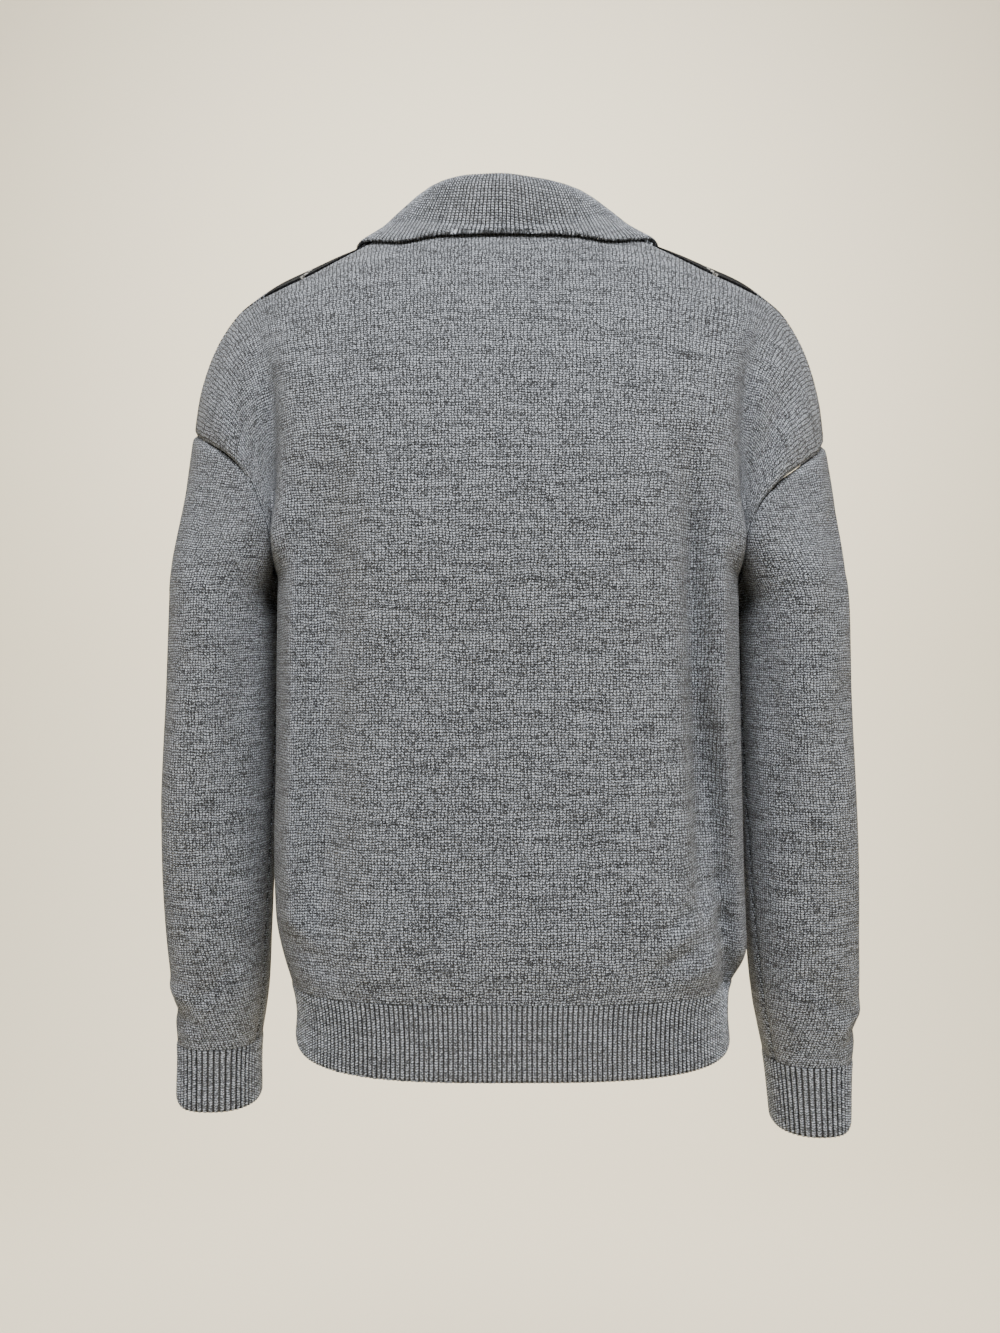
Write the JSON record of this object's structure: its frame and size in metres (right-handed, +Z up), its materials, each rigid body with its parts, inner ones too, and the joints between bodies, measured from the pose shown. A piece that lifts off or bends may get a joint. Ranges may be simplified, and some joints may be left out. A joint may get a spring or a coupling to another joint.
{
  "type": "argyle polo sweater",
  "caption": "Hollow worn-form knitted polo sweater with fold-over ribbed collar, drop-shoulder sleeves, ribbed hem and cuffs, plain back and argyle front.",
  "frame": {"origin": "midway between the neck ends of the two shoulder seams, where the wearer's neck and shoulders hold the sweater", "axes": "+Z up, -Y the way the front faces, +X towards the wearer's left"},
  "size_m": [0.5262, 0.2646, 0.7056],
  "materials": {
    "plain_knit": "matte heathered grey fine knit",
    "argyle_knit": "matte fine knit, grey and black lozenges with off-white lines",
    "rib_knit": "matte heathered grey rib knit"
  },
  "bodies": {
    "root": {"back": "plain_knit", "front": "argyle_knit", "hem_rib_back": "rib_knit", "hem_rib_front": "rib_knit", "sleeve_left": "plain_knit", "sleeve_right": "plain_knit", "cuff_left": "rib_knit", "cuff_right": "rib_knit", "collar": "rib_knit"}
  },
  "joints": []
}
